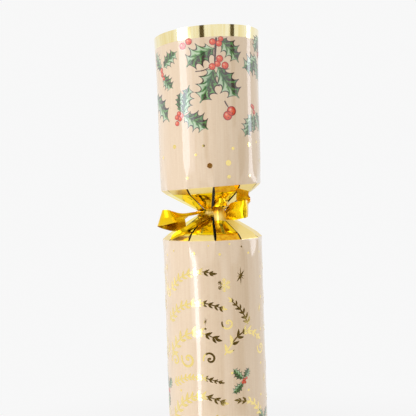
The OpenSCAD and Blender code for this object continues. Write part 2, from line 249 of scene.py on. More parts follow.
def make_printed_card():
    """The bare card, with the slow unevenness of a rolled sheet, which bends the highlights."""
    finish = Finish("printed_card")
    wide = finish.skin_grain(42.0, 1.6)
    streak = finish.skin_grain(170.0, 5.0, detail=3.0, roughness=0.6)
    thread = finish.skin_grain(60.0, 420.0)
    speck = finish.skin_grain(520.0, 520.0, detail=1.0)
    tone = (wide * 0.3 + streak * 0.4 + thread * 0.3 + speck * 0.2).between(0.3, 0.9)
    tones = [(0.0, srgb(222, 193, 157)), (0.5, srgb(230, 204, 171)), (1.0, srgb(237, 214, 183))]
    colour = finish.node("ShaderNodeValToRGB", {"stops": tones}, {0: tone})
    slow = finish.skin_grain(7.0, 2.2, detail=1.0)
    fine = finish.skin_grain(70.0, 26.0)
    return gloss(finish, Base_Color=colour, Normal=finish.bump(slow + fine * 0.03, 0.0003))


def make_tab_foil():
    """Crumpled mirror foil. Each face carries its tone: 0 is a light painted reflection, 1 the deep foil
    and 2 an orange-gold painted reflection.
    """
    finish = Finish("tab_foil")
    crumple = finish.grain(110.0, roughness=0.4)
    crease = finish.grain(620.0, detail=3.0, roughness=0.6)
    wear = finish.grain(2400.0).between(0.35, 0.75)
    tone = finish.number()
    # The light and orange-gold tones are painted reflections; the deep tone is the foil's own gold
    painted_light_gold = finish.mix(wear, (0.92, 0.72, 0.27), (0.89, 0.68, 0.24))
    deep = finish.mix(wear, (0.97, 0.78, 0.045), (0.95, 0.75, 0.035))
    painted_orange_gold = finish.mix(crease.between(0.4, 0.6), (0.88, 0.48, 0.02), (0.74, 0.33, 0.015))
    colour = finish.mix((tone - 1.0).between(0.0, 1.0), finish.mix(tone, painted_light_gold, deep), painted_orange_gold)
    rough = 0.04 + crease * 0.05 + (1.0 - tone).between(0.0, 1.0) * 0.24
    return finish.set(Base_Color=colour, Metallic=1.0, Roughness=rough,
                      Normal=finish.bump(crumple + crease * 0.05, 0.0005))


def make_stamped_foil(name, light, dark):
    """The foil stamped flat on the card: the band at the rim, or the small print."""
    finish = Finish(name)
    press = finish.grain(70.0, detail=1.0, up=0.15)
    speck = finish.grain(5200.0)
    brush = finish.grain(900.0, up=0.02)
    sweep = finish.grain(210.0, up=0.02)
    # Vertical streaks of colour: the foil's brushed grain, and on the rim band, whose two colours lie far
    # apart, also painted streaks of reflection
    tone = (speck * 0.2 + brush * 0.35 + sweep * 0.45).between(0.36, 0.64)
    return finish.set(Base_Color=finish.mix(tone, light, dark), Metallic=1.0,
                      Roughness=0.06 + speck * 0.05,
                      Coat_Weight=1.0, Coat_Roughness=0.04, Coat_IOR=FILM_IOR,
                      Normal=finish.bump(press + brush * 0.08, 0.00008))


def make_ribbon_foil(name, dark, light, roughness, film, creased=0.0):
    """Foil ribbon, with fine lines along it. film is the weight of the clear film on it."""
    finish = Finish(name)
    lines = finish.skin_grain(78.0, 3.0, detail=3.0, roughness=0.6)
    crumple = finish.grain(150.0, detail=1.0)
    fine = finish.grain(560.0)
    return finish.set(Base_Color=finish.mix(lines.between(0.3, 0.7), dark, light), Metallic=1.0,
                      Roughness=roughness + lines * 0.08,
                      Coat_Weight=film, Coat_Roughness=0.12, Coat_IOR=FILM_IOR,
                      Normal=finish.bump(crumple + lines * 0.03 + fine * creased, 0.0003))


def make_board(name, dark, light):
    """The uncoated inside of the card."""
    finish = Finish(name)
    fibre = finish.skin_grain(260.0, 90.0, detail=4.0, roughness=0.7)
    fleck = finish.skin_grain(900.0, 700.0)
    tone = fibre * 0.7 + fleck * 0.3
    return finish.set(Base_Color=finish.mix(tone.between(0.3, 0.7), dark, light),
                      Roughness=0.85, Normal=finish.bump(tone, 0.00006))


def make_mottled(name, dark, light, scale, roughness, depth, span=(0.35, 0.65), coarse=0.5):
    """A finish of one grain, which runs from its dark tone to its light one over the span."""
    finish = Finish(name)
    grain = finish.grain(scale, detail=3.0, roughness=coarse)
    return finish.set(Base_Color=finish.mix(grain.between(*span), dark, light),
                      Roughness=roughness, Normal=finish.bump(grain, depth))


def make_cut_edge(name, dark, light):
    return make_mottled(name, dark, light, 5200.0, 0.8, 0.00005, (0.35, 0.7), 0.7)


def make_coat(name, dark, light, roughness):
    return make_mottled(name, dark, light, 6000.0, roughness, 0.0001, coarse=0.8)


def make_hot_glue():
    return make_mottled("hot_glue", srgb(226, 212, 178), srgb(242, 234, 210),
                        700.0, 0.28, 0.0002, (0.3, 0.7))


def make_holly_leaf():
    """Printed green, paler on one side of the rib and hatched on the other, drawn round in ink."""
    finish = Finish("printed_leaf")
    across, along, _ = finish.split(finish.spot(skin=True))
    seed = finish.number()
    side = across * 2.0 - 1.0
    out = side.size()
    wash = finish.skin_grain(2.2, 3.4, detail=3.0, seed=seed)
    brush = finish.skin_grain(9.0, 20.0, detail=3.0, seed=seed + 4.0)
    vein = (along * 5.0 - out * 1.15 + brush * 0.25).part()
    between_veins = (vein - 0.5).size() * 2.0
    green = finish.mix(wash.between(0.3, 0.7), srgb(58, 108, 60), srgb(118, 172, 92))
    pale_side = (side + wash * 1.4 - 0.5).between(0.1, 0.5)
    pale_patch = (1.0 - between_veins).between(0.2, 0.6) * (out - 0.12).between(0.0, 0.2)
    green = finish.mix(pale_side * pale_patch * 0.9, green, srgb(192, 208, 172))
    shade = (wash * 1.2 - side - 0.3).between(0.1, 0.6)
    hatch = (brush * 1.3 + between_veins * 0.5).between(0.72, 0.95)
    green = finish.mix(shade * hatch * 0.92, green, srgb(72, 38, 48))
    green = finish.mix(between_veins.between(0.8, 0.95) * 0.7, green, srgb(44, 62, 48))
    rib = 1.0 - out.between(0.03, 0.08)
    rim = (out + brush * 0.2).between(0.84, 0.97)
    colour = finish.mix((rib * 0.85).most(rim) * 0.94, green, srgb(58, 30, 40))
    return gloss(finish, INK_FILM_IOR, Base_Color=colour)


def make_berry():
    """Printed red, with a lit spot up to the left, a dark one low down and an inked rim."""
    finish = Finish("printed_berry")
    across, up, _ = finish.split(finish.spot(skin=True))
    x, y = across * 2.0 - 1.0, up * 2.0 - 1.0
    out, lit, low = far(x, y), far(x + 0.3, y - 0.28), far(x - 0.12, y + 0.42)
    wash = finish.skin_grain(5.0, 5.0, detail=3.0, seed=finish.number())
    red = finish.mix((out * 0.8 + wash * 0.5).between(0.35, 1.05),
                     srgb(238, 104, 66), srgb(214, 60, 42))
    red = finish.mix((1.0 - (lit + wash * 0.4).between(0.22, 0.6)) * 0.75, red, srgb(252, 196, 158))
    red = finish.mix((1.0 - low.between(0.08, 0.2)) * 0.75, red, srgb(104, 28, 32))
    colour = finish.mix((out + wash * 0.12).between(0.86, 0.98) * 0.85, red, srgb(128, 34, 38))
    return gloss(finish, INK_FILM_IOR, Base_Color=colour)


def make_stem():
    finish = Finish("printed_stem")
    wash = finish.skin_grain(14.0, 30.0, detail=3.0)
    colour = finish.mix(wash.between(0.3, 0.7), srgb(66, 48, 54), srgb(108, 84, 80))
    return gloss(finish, Base_Color=colour)


def make_paper(name, dark, light, scale):
    finish = Finish(name)
    fibre = finish.grain(scale, detail=4.0, roughness=0.7)
    cloud = finish.grain(scale * 0.08)
    colour = finish.mix((fibre * 0.6 + cloud * 0.4).between(0.35, 0.65), dark, light)
    return finish.set(Base_Color=colour, Roughness=0.85, Normal=finish.bump(fibre, 0.00006))


def make_tissue():
    finish = Finish("green_tissue")
    fold = finish.grain(520.0, detail=3.0, roughness=0.55, up=0.25)
    fibre = finish.grain(3600.0, detail=3.0, roughness=0.7)
    colour = finish.mix((fold * 0.6 + fibre * 0.4).between(0.35, 0.65),
                        srgb(34, 118, 78), srgb(66, 158, 108))
    return finish.set(Base_Color=colour, Roughness=0.75, Sheen_Weight=0.25,
                      Normal=finish.bump(fold + fibre * 0.2, 0.00025))


def make_turned_wood(name, dark, light, varnish):
    """Wood off the lathe, with its rings and the marks of the tool."""
    finish = Finish(name)
    rings = finish.grain(900.0, detail=4.0, roughness=0.6, up=0.14)
    _, _, z = finish.split(finish.spot())
    tool = (z * 9000.0).sine() * 0.5 + 0.5
    colour = finish.mix((rings + tool * 0.08).between(0.35, 0.7), dark, light)
    return finish.set(Base_Color=colour, Roughness=0.3 if varnish else 0.6,
                      Coat_Weight=1.0 if varnish else 0.0, Coat_Roughness=0.12,
                      Normal=finish.bump(rings * 0.5 + tool * 0.3, 0.00004))


CARD = make_printed_card()
STAMPED = make_stamped_foil("stamped_foil", (0.95, 0.76, 0.28), (0.91, 0.70, 0.22))
# The rim band runs in vertical streaks from near white to deep gold: partly the brushed grain of the foil,
# partly painted streaks of reflection
RIM_FOIL_AND_PAINTED_STREAKS = make_stamped_foil("rim_foil_and_painted_streaks", (1.0, 0.92, 0.60), (0.87, 0.71, 0.29))
FOIL = make_tab_foil()
BOARD = make_board("card_inside", srgb(222, 219, 211), srgb(240, 238, 232))
# The inside of the tabs: board painted near black, as painted shade in the neck
NECK_PAINTED_SHADE = make_board("neck_inside_painted_shade", srgb(30, 25, 20), srgb(44, 36, 28))
EDGE = make_cut_edge("card_cut_edge", srgb(226, 214, 190), srgb(244, 238, 224))
# The cut edges of the tabs are painted dark brown, as painted shade down the slits
TAB_EDGE_PAINTED_SHADE = make_cut_edge("tab_cut_edge_painted_shade", srgb(62, 44, 22), srgb(86, 64, 34))
RIBBON = make_ribbon_foil("ribbon_foil", (0.89, 0.56, 0.004), (0.93, 0.61, 0.007), 0.22, 0.05)
# Lighter, rougher foil: a painted sheen where the ribbon catches the light
PAINTED_SHEEN_RIBBON = make_ribbon_foil("ribbon_foil_painted_sheen", (0.92, 0.64, 0.14), (0.95, 0.69, 0.21), 0.38, 0.3)
# Dark brown foil: painted shade on the inner faces of the tails; its fine crumples are bump
PAINTED_SHADE_RIBBON = make_ribbon_foil("ribbon_foil_painted_shade", (0.28, 0.15, 0.002), (0.68, 0.41, 0.005),
                                  0.2, 0.05, 0.5)
LEAF = make_holly_leaf()
BERRY = make_berry()
STEM = make_stem()


# Making pieces
def in_scene(name, data):
    """A new object of the scene with this mesh, light or camera."""
    made = bpy.data.objects.new(name, data)
    bpy.context.scene.collection.objects.link(made)
    return made


def mesh_object(name, bm, *materials):
    mesh = bpy.data.meshes.new(name)
    bm.to_mesh(mesh)
    bm.free()
    for material in materials:
        mesh.materials.append(material)
    return in_scene(name, mesh)


def piece(name, bm, body, materials, wall=None, steps=(0, 0)):
    """A finished piece from a bmesh in metres. wall is the thickness that Solidify gives it, and
    steps lead from a face's material to those of the inner wall and the cut edge."""
    for face in bm.faces:
        face.smooth = True
    for edge in bm.edges:
        edge.smooth = not edge.is_boundary
    made = mesh_object(name, bm, *materials)
    if wall:
        solid = made.modifiers.new("wall", "SOLIDIFY")
        solid.thickness, solid.offset = wall * MM, -1.0
        solid.material_offset, solid.material_offset_rim = steps
    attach(made, body)
    return made


def face_layers(bm):
    """The skin map, and the number that each face carries."""
    skin = bm.loops.layers.uv.get("skin") or bm.loops.layers.uv.new("skin")
    tag = bm.faces.layers.float.get("number") or bm.faces.layers.float.new("number")
    return skin, tag


def plate(bm, columns, rows, place, cover=None, material=0, number=0.0):
    """A grid of faces. place gives the spot of a corner, cover its place on the skin map."""
    corners = bmesh.ops.create_grid(bm, x_segments=columns, y_segments=rows, size=1.0)["verts"]
    marks = {v: (round((v.co.x + 1) / 2 * columns), round((v.co.y + 1) / 2 * rows))
             for v in corners}
    for v, mark in marks.items():
        v.co = place(*mark)
    skin, tag = face_layers(bm)
    for face in {f for v in corners for f in v.link_faces}:
        corner = min(marks[v] for v in face.verts)
        face.material_index = material(*corner) if callable(material) else material
        face[tag] = number(*corner) if callable(number) else number
        for loop in face.loops:
            column, row = marks[loop.vert]
            loop[skin].uv = cover(column, row) if cover else (column / columns, row / rows)


def weld(bm, gap=0.01):
    bmesh.ops.remove_doubles(bm, verts=bm.verts[:], dist=gap * MM)


# The card
def rise_at(height):
    """Height of the tube above its nearest crease."""
    if height > UPPER_WAIST:
        return height - UPPER_WAIST - NECK_HALF
    if height < LOWER_WAIST:
        return LOWER_WAIST - NECK_HALF - height
    return min(UPPER_WAIST - height, height - LOWER_WAIST) - NECK_HALF


def at_front(turn, radius, height):
    """Spot at an angle from the front, to the right, at a radius and a height in millimetres."""
    angle = math.radians(turn)
    return Vector((radius * math.sin(angle), -radius * math.cos(angle), height)) * MM


def on_tube(turn, height, lift=0.0):
    """Spot on the outside of the tube, or lifted off it, at an angle from the front. The tube is
    a polygon at its creases, grows round above them and sways a little."""
    rise = rise_at(height)
    across = (turn % FACET) / FACET * 2 - 1
    folded = CREASE_FLAT / math.cos(across * HALF_TAB)
    share = 1 - (1 - min(max(rise / FOLD_LEN, 0.0), 1.0)) ** FOLD_POWER
    angle = math.radians(turn)
    sway = 0.07 * math.sin(2 * angle + height / 23) + 0.05 * math.sin(3 * angle - height / 13 + 1)
    if not LOWER_WAIST < height < UPPER_WAIST:
        flare = max(0.0, rise - HANDLE_LEN + FLARE_LEN) / FLARE_LEN
        sway += SPRING_OUT + MOUTH_FLARE * flare * flare
    return at_front(turn, folded + (TUBE_R - folded + sway) * share + lift, height)


def askew(spot, skew):
    """A spot of a sheet that was rolled askew, higher to the right by the skew."""
    raise_share = max(0.0, spot.z / MM - OVERALL + HANDLE_LEN) / HANDLE_LEN
    spot.z += spot.x * skew + (MOUTH_RAISE * raise_share * MM if skew else 0.0)
    return spot


COLUMN_SHARES = (-1.0, -0.955, -0.8, -0.5, -0.17, 0.17, 0.5, 0.8, 0.955, 1.0)
TAB_STEPS = (1.0, 0.86, 0.72, 0.6, 0.5, 0.41, 0.33, 0.26, 0.2, 0.14, 0.09, 0.05, 0.025, 0.01)
CREASE_STEPS = (0.0, 0.12, 0.32, 0.7, 1.4, 2.4, 3.8, 5.4, 7.2, 9.2, 11.4, 14.0)
RIM_STEPS = (0.0, 0.3, RIM_BAND)
ROW_STEP = 2.4
# How far a tab swells, where along it the swell is highest, and how much of it goes out and along
TAB_SWELL, SWELL_PEAK = 1.05, 0.15
SWELL_OUT, SWELL_ALONG = 0.55, 0.83
# How much narrower a front tab is on each side, so that the slits beside it stand wider open
SLIT_CRUSH = 0.12
# Tones of the tabs' foil, which paint reflections on it: light by the crease, orange-gold there on one
# facet, and the deep foil beyond it.
# The tabs listed here, by the angle of their middle, are less deep, with more of the light painted
# reflection
PAINTED_REFLECTION_TONE, DEEP_TONE, PAINTED_AMBER_TONE = 0.0, 1.0, 2.0
PAINTED_AMBER_FACET = 15.0
PAINTED_REFLECTION_BAND = 0.13
HANDLE_REFLECTION_PAINT = {45.0: 0.3, 75.0: 0.2}
BARREL_REFLECTION_PAINT = {45.0: 0.1, 75.0: 0.1}
# Places in a card's list of finishes
PRINTED_FACE, RIM_FACE, TAB_FACE = 0, 1, 2


def card_rows(bottom, top):
    """Heights of the rows of a card sheet, with how far along a tab each lies, or None."""
    def end_rows(end, way):
        """Rows from a rim, or from the waist past a crease, into the tube, up or down by way."""
        if end in (0.0, OVERALL):
            return [(end + way * step, None) for step in RIM_STEPS]
        reach = way * (NECK_HALF - TEAR_HALF)
        tabs = [(end - reach * share, share) for share in TAB_STEPS]
        return tabs + [(end + way * step, None) for step in CREASE_STEPS]

    low, high = end_rows(bottom, 1), end_rows(top, -1)
    start, length = low[-1][0], high[-1][0] - low[-1][0]
    count = round(length / ROW_STEP)
    return low + [(start + length * i / count, None) for i in range(1, count)] + high[::-1]


def card_face(low, high):
    """Which finish the outside has between two heights: the rim's foil band or the print."""
    middle = (low + high) / 2
    return RIM_FACE if middle < RIM_BAND or middle > OVERALL - RIM_BAND else PRINTED_FACE


def card_sheet(body, bottom, top, seed, skew=0.0):
    """One printed sheet, rolled into a tube, with its tabs folded in at the necks."""
    chance = random.Random(seed)
    rows = card_rows(bottom, top)
    tones = BARREL_REFLECTION_PAINT if body == "barrel" else HANDLE_REFLECTION_PAINT
    bm = bmesh.new()
    for facet in range(TABS):
        middle = (facet + 0.5) * FACET
        angle = math.radians(middle)
        sideways = Vector((math.cos(angle), math.sin(angle), 0)) * MM
        press = 0.35 + 0.9 * math.cos(angle) ** 2
        lean = {True: chance.uniform(-0.3, 0.3), False: chance.uniform(-0.3, 0.3)}
        swell = {True: chance.uniform(0.92, 1.08), False: chance.uniform(0.92, 1.08)}
        crush = SLIT_CRUSH * max(0.0, math.cos(angle))

        def place(column, row):
            share = COLUMN_SHARES[column]
            height, tab = rows[row]
            if tab is None:
                inset = 0.05 * max(0.0, 1 - rise_at(height) / 0.3)
                return askew(on_tube(middle + share * FACET / 2, height, -inset), skew)
            upper = height > (bottom + top) / 2
            flat = CREASE_FLAT + (WAIST_FLAT - CREASE_FLAT) * tab
            half = CREASE_HALF + (WAIST_HALF - CREASE_HALF) * tab - SLIT_W / 2
            bow = min(tab / SWELL_PEAK, (1 - tab) / (1 - SWELL_PEAK))
            out = TAB_SWELL * swell[upper] * press * bow + lean[upper] * share * 4 * tab * (1 - tab)
            along = out * SWELL_ALONG * (1 if upper else -1)
            side = share * (half - crush * min(tab / 0.1, 1.0))
            spot = at_front(middle, flat + out * SWELL_OUT, height + along) + sideways * side
            return askew(spot, skew * (1 - tab))

        def cover(column, row):
            turn = math.radians(middle + COLUMN_SHARES[column] * FACET / 2)
            return turn * TUBE_R * UV_MM, rows[row][0] * UV_MM

        def face(column, row):
            (low, low_tab), (high, high_tab) = rows[row:row + 2]
            return card_face(low, high) if low_tab is None and high_tab is None else TAB_FACE

        # Tone of each tab face, the painted reflection on its foil: light by the crease, orange-gold on one
        # facet
        def tone(column, row):
            folds = [tab for _, tab in rows[row:row + 2] if tab is not None]
            if not folds:
                return PAINTED_REFLECTION_TONE
            if len(folds) == 2 and min(folds) >= PAINTED_REFLECTION_BAND:
                return tones.get(middle, DEEP_TONE)
            return PAINTED_AMBER_TONE if middle == PAINTED_AMBER_FACET else PAINTED_REFLECTION_TONE

        plate(bm, len(COLUMN_SHARES) - 1, len(rows) - 1, place, cover, face, tone)
    weld(bm)
    add_lap(bm, [height for height, tab in rows if tab is None], skew)
    finishes = [CARD, RIM_FOIL_AND_PAINTED_STREAKS, FOIL, BOARD, BOARD, NECK_PAINTED_SHADE, EDGE, EDGE, TAB_EDGE_PAINTED_SHADE]
    sheet = piece(body + "_card", bm, body, finishes, CARD_T, (3, 6))
    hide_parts(body + "_wrap")


LAP_TURN = 225.0
LAP_SHARE = 0.88
LAP_COLUMNS = 8
LAP_SINK = 0.03


def add_lap(bm, heights, skew):
    """The glued edge of the sheet, lying over its own other edge down the back."""
    def across(column):
        return (column / LAP_COLUMNS * 2 - 1) * LAP_SHARE

    def place(column, row):
        ease = min(max((across(column) + LAP_SHARE) / 0.9, 0.0), 1.0)
        over = -LAP_SINK + (CARD_T + LAP_SINK) * ease * ease * (3 - 2 * ease)
        return askew(on_tube(LAP_TURN + across(column) * FACET / 2, heights[row], over), skew)

    def cover(column, row):
        turn = math.radians(LAP_TURN + across(column) * FACET / 2)
        return turn * TUBE_R * UV_MM + 0.07, heights[row] * UV_MM

    plate(bm, LAP_COLUMNS, len(heights) - 1, place, cover,
          lambda column, row: card_face(heights[row], heights[row + 1]))


card_sheet("upper_handle", UPPER_WAIST + NECK_HALF, OVERALL, 3, ROLL_SKEW)
card_sheet("barrel", LOWER_WAIST + NECK_HALF, UPPER_WAIST - NECK_HALF, 5)
card_sheet("lower_handle", 0.0, HANDLE_LEN, 8)


# The print
PRINT_T = 0.05
PRINT_LIFT = 0.03
# Spines down each side of a holly leaf: how far along it they stand, how far out, and how deep
# the edge dips before each
SPINES = ((0.13, 0.60, 0.14), (0.33, 0.96, 0.34), (0.54, 1.02, 0.44), (0.76, 0.80, 0.46),
          (1.0, 0.0, 0.28))
SPINE_STEPS = 8
LEAST_WIDTH = 0.06
# Places in the list of inks of a holly print
LEAF_INK, BERRY_INK, STEM_INK = 0, 1, 2


def laid_flat(turn, height):
    """An angle from the front and a height as a spot of the sheet laid flat, in millimetres."""
    return Vector((math.radians(turn) * TUBE_R, height))


def printed(spot, over=0.0):
    """Where a spot of the flat sheet lies on the rolled card, over other print by so much."""
    return on_tube(math.degrees(spot.x / TUBE_R), spot.y, PRINT_LIFT + over)


def heading(lean):
    """The way on the flat sheet that leans to the right of upright by an angle."""
    return Vector((math.sin(math.radians(lean)), math.cos(math.radians(lean))))


def right_of(way):
    return Vector((way.y, -way.x)).normalized()


def curve_through(points, t):
    """Point at share t of the smooth curve through a list of points or numbers."""
    place = t * (len(points) - 1)
    i = min(int(place), len(points) - 2)
    a, b = points[max(i - 1, 0)], points[i]
    c, d = points[i + 1], points[min(i + 2, len(points) - 1)]
    u = place - i
    return 0.5 * (2 * b + (c - a) * u + (2 * a - 5 * b + 4 * c - d) * u * u
                  + (3 * b - a - 3 * c + d) * u ** 3)


def ahead_on(points, t, step):
    """The way that the curve goes at share t."""
    before, after = curve_through(points, max(t - step, 0)), curve_through(points, min(t + step, 1))
    return (after - before).normalized()


def disc(bm, sides, radius, middle, over=0.0, material=0, number=0.0):
    """A round print, from a flat disc."""
    rim = bmesh.ops.create_circle(
        bm, cap_ends=True, cap_tris=True, segments=sides, radius=radius)["verts"]
    skin, tag = face_layers(bm)
    for face in {f for v in rim for f in v.link_faces}:
        face.material_index = material
        face[tag] = number
        for loop in face.loops:
            loop[skin].uv = [0.5 + c / radius / 2 for c in loop.vert.co.xy]
    for v in rim:
        v.co = printed(middle + v.co.xy, over)


def leaf_edge():
    """Half widths along one side of a leaf, as pairs of how far along and how far out."""
    edge = [(0.0, LEAST_WIDTH)]
    for spot, out, dip in SPINES:
        before, inner = edge[-1]
        for i in range(1, SPINE_STEPS + 1):
            t = i / SPINE_STEPS
            sag = dip * (4 * t * (1 - t)) ** 0.62
            least = 0.0 if spot == t == 1 else LEAST_WIDTH
            edge.append((before + (spot - before) * t, max(inner + (out - inner) * t - sag, least)))
    return edge


def add_leaf(bm, root, tip, width, bend, seed):
    """A printed holly leaf from root to tip."""
    chance = random.Random(seed * 7 + 1)
    line = tip - root
    edge = leaf_edge()
    slip = [chance.uniform(-0.03, 0.03) for _ in range(2)]
    stretch = [chance.uniform(0.9, 1.08) for _ in range(2)]

    def place(column, row):
        side = 1 - column / 4
        along, out = edge[row]
        mirror = side < 0
        hook = 0.045 * abs(side) * out * math.sin(math.pi * min(along, 1.0))
        t = along + hook + slip[mirror] * abs(side) * 4 * along * (1 - along)
        aside = bend * line.length * 4 * t * (1 - t) + side * out * width / 2 * stretch[mirror]
        return printed(root + line * t - right_of(line) * aside)

    plate(bm, 8, len(edge) - 1, place, material=LEAF_INK, number=seed * 1.37)


def add_stroke(bm, line, width, over, taper, material=0):
    """A drawn line, thinner towards its start by the taper."""
    steps = max(4, 4 * (len(line) - 1))

    def place(column, row):
        t = row / steps
        fade = taper + (1 - taper) * math.sin(math.pi * (0.15 + 0.85 * t)) ** 0.6
        aside = right_of(ahead_on(line, t, 0.02)) * (column - 0.5) * width * fade
        return printed(curve_through(line, t) + aside, over)

    plate(bm, 1, steps, place, material=material)


def print_holly(body, leaves, berries, strokes, shift=0.0):
    """All the holly of one card, printed twice round it."""
    bm = bmesh.new()
    for side in (0.0, 180.0):
        move = laid_flat(side, shift)
        for seed, (root, tip, width, bend) in enumerate(leaves, 1):
            add_leaf(bm, laid_flat(*root) + move, laid_flat(*tip) + move, width, bend, seed)
        for seed, (turn, height, radius) in enumerate(berries, 1):
            disc(bm, 18, radius, laid_flat(turn, height) + move, 0.015 + 0.004 * (seed % 5),
                 BERRY_INK, seed * 0.83)
        for spots, width in strokes:
            add_stroke(bm, [laid_flat(*spot) + move for spot in spots], width, 0.01, 0.35, STEM_INK)
    weld(bm, 0.004)
    piece(body + "_holly", bm, body, [LEAF, BERRY, STEM], PRINT_T)


# Rays of a star: how far each leans, its share of the size, and how wide it is
STAR_RAYS = ((0, 1.0, 0.08), (90, 0.5, 0.06), (40, 0.78, 0.13), (-45, 0.58, 0.06))


def add_star(bm, middle, size):
    """A star of four thin pointed rays, crossed at its middle."""
    for i, (lean, share, fat) in enumerate(STAR_RAYS):
        way = heading(lean)

        def place(column, row):
            t = row / 4 * 2 - 1
            width = size * fat * max(1 - abs(t) ** 1.4, 0.04)
            aside = right_of(way) * (column - 0.5) * width
            return printed(middle + way * t * size * share / 2 + aside, 0.002 * i)

        plate(bm, 1, 4, place)


def add_snowflake(bm, middle, size):
    """A plain six-armed snowflake."""
    for arm in range(6):
        way = heading(60 * arm) * size / 2
        strokes = [(middle, middle + way, 0.42)]
        for share, length in ((0.34, 0.15), (0.56, 0.19), (0.78, 0.13)):
            for mirror in (-1, 1):
                fork = middle + way * share
                twig = heading(60 * arm + mirror * 55) * size * length
                strokes.append((fork, fork + twig, 0.32))
        for i, (start, end, width) in enumerate(strokes):
            add_stroke(bm, [start, end], width, 0.001 * i, 0.55)


def add_leaflet(bm, root, way, length, width, over):
    """A slim pointed leaf of foil, from its root along one way."""
    def place(column, row):
        t = row / 6
        fat = max(math.sin(math.pi * t ** 0.8) ** 0.8, 0.05) if 0 < t < 1 else 0.05
        aside = 0.08 * length * math.sin(math.pi * t) + (column / 2 - 0.5) * width * fat
        return printed(root + way * length * t + right_of(way) * aside, over)

    plate(bm, 2, 6, place)


def add_branch(bm, line, leaf, seed):
    """A laurel branch from root to tip, leaves in pairs along a curved twig."""
    chance = random.Random(seed)
    add_stroke(bm, line, 0.62, 0.006, 0.5)
    total = sum((b - a).length for a, b in zip(line, line[1:]))
    count = max(2, int(total / (leaf * 0.72)))
    for i in range(count):
        share = (i + 0.5) / count
        for mirror in (-1, 1):
            turned = math.radians(mirror * (46 - 16 * share + chance.uniform(-5, 5)))
            reach = leaf * (1.05 - 0.4 * share) * chance.uniform(0.9, 1.1)
            way = Matrix.Rotation(turned, 2) @ ahead_on(line, share, 0.03)
            add_leaflet(bm, curve_through(line, share), way, reach, reach * 0.36, 0.003 * (mirror > 0))
    add_leaflet(bm, line[-1], ahead_on(line, 1, 0.06), leaf * 0.8, leaf * 0.3, 0.009)


def add_scroll(bm, middle, size, mirror):
    """A drawn curl: thin at its start, full round its outer turn, with a drop at its heart. mirror
    is -1 where it turns the other way."""
    turns = [(90 - (200 - 30 * i) * mirror, size * (1.0 - i / 17) * 0.5) for i in range(15)]
    add_stroke(bm, [middle + heading(turn) * reach for turn, reach in turns], size * 0.15, 0.012, 0.3)
    disc(bm, 12, size * 0.085, middle, 0.015)


def print_foil(body, dots, stars=(), flakes=(), branches=(), scrolls=()):
    """All the foil stamping of one card, stamped twice round it."""
    bm = bmesh.new()
    for side in (0.0, 180.0):
        move = laid_flat(side, 0.0)
        for turn, height, radius in dots:
            disc(bm, 14, radius, laid_flat(turn, height) + move)
        for turn, height, size in stars:
            add_star(bm, laid_flat(turn, height) + move, size)
        for turn, height, size in flakes:
            add_snowflake(bm, laid_flat(turn, height) + move, size)
        for seed, (spots, leaf) in enumerate(branches):
            add_branch(bm, [laid_flat(*spot) + move for spot in spots], leaf, seed)
        for turn, height, size, mirror in scrolls:
            add_scroll(bm, laid_flat(turn, height) + move, size, mirror)
    piece(body + "_foil", bm, body, [STAMPED], PRINT_T)


# Holly on a handle, as angles from the front and heights on the upper handle. A leaf has its root,
# its tip, its width and its bend, a berry its spot and radius, and a stem its spots and width
HANDLE_LEAVES = [
    ((5, 290.3), (-25.8, 283), 11.4, -0.05),
    ((9.5, 294), (32.6, 284.6), 9.4, 0.07),
    ((3.6, 282.3), (-12.2, 267.4), 10.6, 0.06),
    ((8.2, 282.4), (32.6, 269.4), 11.2, -0.05),
    ((-62.5, 283.8), (-77, 292.6), 7.2, 0.05),
    ((-57.6, 284.6), (-35.6, 290.2), 8, 0.04),
    ((-59.5, 281), (-43.5, 274.8), 7.6, -0.06),
    ((-86, 273.5), (-51, 260.6), 11, 0.06),
    ((-34.6, 264.5), (-33, 273.4), 5.4, 0.05),
    ((-30.4, 262.8), (-22.6, 275.6), 7.4, 0.05),
    ((-30.6, 262.6), (-3.8, 256.2), 9.4, 0.05),
    ((72, 298), (60, 290.4), 8, -0.06),
    ((66, 288.2), (37.6, 282.6), 10.6, 0.05),
    ((62, 287.6), (74, 278.6), 8, -0.05),
    ((51, 263.2), (38.4, 253.2), 8.6, 0.05),
    ((56, 263.2), (54.6, 255), 5.4, 0.04),
    ((62, 264.4), (76, 256), 7.4, -0.05),
]
HANDLE_BERRIES = [
    (3.3, 293, 1.4), (9.9, 292.3, 1.35), (12, 294.2, 1.1),
    (10.4, 286, 1.5), (8, 283.8, 1.35), (2.3, 282.7, 1.45), (16.3, 283.2, 1.55),
    (-21.6, 293.6, 1.45), (-28.6, 292, 1.5),
    (-62.4, 283.6, 1.2), (-61.2, 281.6, 1.15), (-58.4, 279.8, 0.9),
    (-36.6, 263.7, 1.1), (-39.6, 262.2, 1.05), (-35.4, 261.5, 1.1), (-39.4, 259.6, 1.1),
    (-33, 262.8, 0.9),
    (17.6, 262, 2), (22.2, 264, 2.1),
    (52.2, 266.8, 0.9), (54.8, 266.2, 1.05), (56.4, 264.2, 1.05),
    (72.5, 290.2, 1.1), (76.6, 291, 1.05),
]
HANDLE_STROKES = [
    ([(7.4, 294.8), (6.3, 290.6), (5, 283.6)], 0.85),
    ([(14.6, 268.3), (16.4, 266.9), (19.2, 265.2)], 0.55),
    ([(-15.8, 280.9), (-7, 281.2), (1, 282.8)], 0.4),
    ([(10, 282.4), (15, 281.6), (21, 281.8)], 0.4),
    ([(-33.8, 263), (-36.4, 261.6), (-39, 260.6)], 0.35),
    ([(-61.4, 284.6), (-61.8, 282.2), (-59.6, 280.6)], 0.35),
    ([(54, 267.4), (55.4, 265.2), (55.8, 262.6)], 0.35),
    ([(70, 294), (73.6, 291), (73, 288.6)], 0.4),
]
